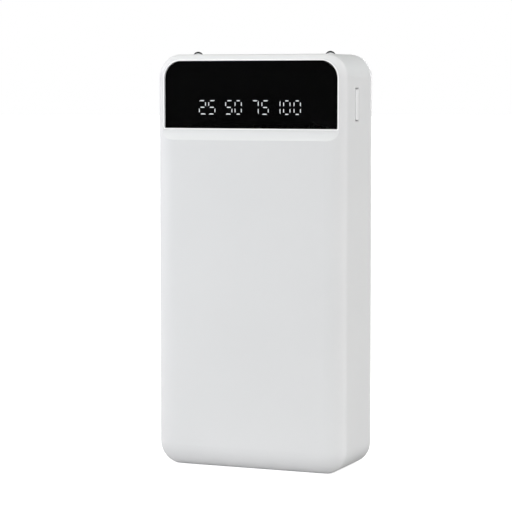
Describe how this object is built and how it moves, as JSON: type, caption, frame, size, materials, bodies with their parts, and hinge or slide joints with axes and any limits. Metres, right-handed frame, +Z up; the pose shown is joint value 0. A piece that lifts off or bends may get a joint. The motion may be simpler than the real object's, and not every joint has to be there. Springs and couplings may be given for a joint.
{
  "type": "power bank",
  "caption": "Upright rectangular power bank with pillow-edged casing, dark display window, side push button, torch lenses and charging sockets in its top end.",
  "frame": {"origin": "centre of the flat bottom end, midway between the front and back faces", "axes": "+Z up along the height towards the sockets, +X towards the side with the button, front face with the display looks along -Y"},
  "size_m": [0.0728, 0.03, 0.1496],
  "materials": {
    "casing": "fine satin moulded grain",
    "button_cap": "smooth satin",
    "window": "polished clear, faintly smoked",
    "mask_black": "flat black print",
    "light_bar": "milky light guide, lit",
    "module_housing": "moulded reflector housing",
    "foam_black": "closed-cell foam",
    "foam_grey": "closed-cell foam",
    "tape": "double-sided tape",
    "circuit_board": "green solder mask",
    "ribbon": "flexible film",
    "steel": "bright stamped sheet",
    "screw_steel": "zinc plated",
    "contact_gold": "gold plated",
    "socket_white": "moulded insulator",
    "socket_black": "moulded insulator",
    "chip_black": "moulded package",
    "ferrite": "pressed ferrite",
    "ceramic_chip": "ceramic with tinned ends",
    "capacitor_can": "sleeved can",
    "lens_clear": "clear polished lens",
    "led_white": "moulded lamp body",
    "phosphor": "yellow phosphor",
    "plunger_black": "moulded plunger",
    "cell_foil": "laminated pouch foil",
    "tab_nickel": "nickel strip",
    "wire_red": "insulated lead",
    "wire_black": "insulated lead"
  },
  "bodies": {
    "casing": {"front_shell": "casing", "rear_cover": "casing", "display_window": "window", "display_mask": "mask_black", "window_adhesive": "tape", "digit_module": "module_housing", "digit_light_bars": "light_bar", "light_gasket": "foam_black", "display_board": "circuit_board", "display_screws": "screw_steel", "display_ribbon": "ribbon", "main_board": "circuit_board", "board_screws": "screw_steel", "usb_a_shell_left": "steel", "usb_a_shell_right": "steel", "usb_a_insulator_left": "socket_white", "usb_a_insulator_right": "socket_white", "usb_a_contacts_left": "contact_gold", "usb_a_contacts_right": "contact_gold", "usb_c_shell": "steel", "usb_c_insulator": "socket_black", "usb_c_contacts": "contact_gold", "torch_lens_left": "lens_clear", "torch_lens_right": "lens_clear", "torch_led_left": "led_white", "torch_led_right": "led_white", "torch_phosphors": "phosphor", "switch_body": "chip_black", "switch_bracket": "steel", "cell_front": "cell_foil", "cell_rear": "cell_foil", "cell_tabs": "tab_nickel", "cell_tape": "tape", "foam_pad_front": "foam_grey", "foam_pad_rear": "foam_grey", "protection_board": "circuit_board", "protection_chips": "chip_black", "battery_lead_red": "wire_red", "battery_lead_black": "wire_black", "power_inductor": "ferrite", "controller_chip": "chip_black", "power_transistors": "chip_black", "ceramic_capacitors": "ceramic_chip", "filter_capacitors": "capacitor_can"},
    "button": {"side_button": "button_cap"},
    "plunger": {"switch_plunger": "plunger_black"}
  },
  "joints": [
    {"name": "button_press", "type": "slide", "parent": "casing", "child": "button", "axis": [-1, 0, 0], "range_m": [0, 0.00035], "stiffness_N_per_m": 10, "springref_m": -0.0004},
    {"name": "switch_click", "type": "slide", "parent": "casing", "child": "plunger", "axis": [-1, 0, 0], "range_m": [0, 0.00035]}
  ],
  "couplings": [
    {"joint": "switch_click", "follows": "button_press", "ratio": 1}
  ]
}
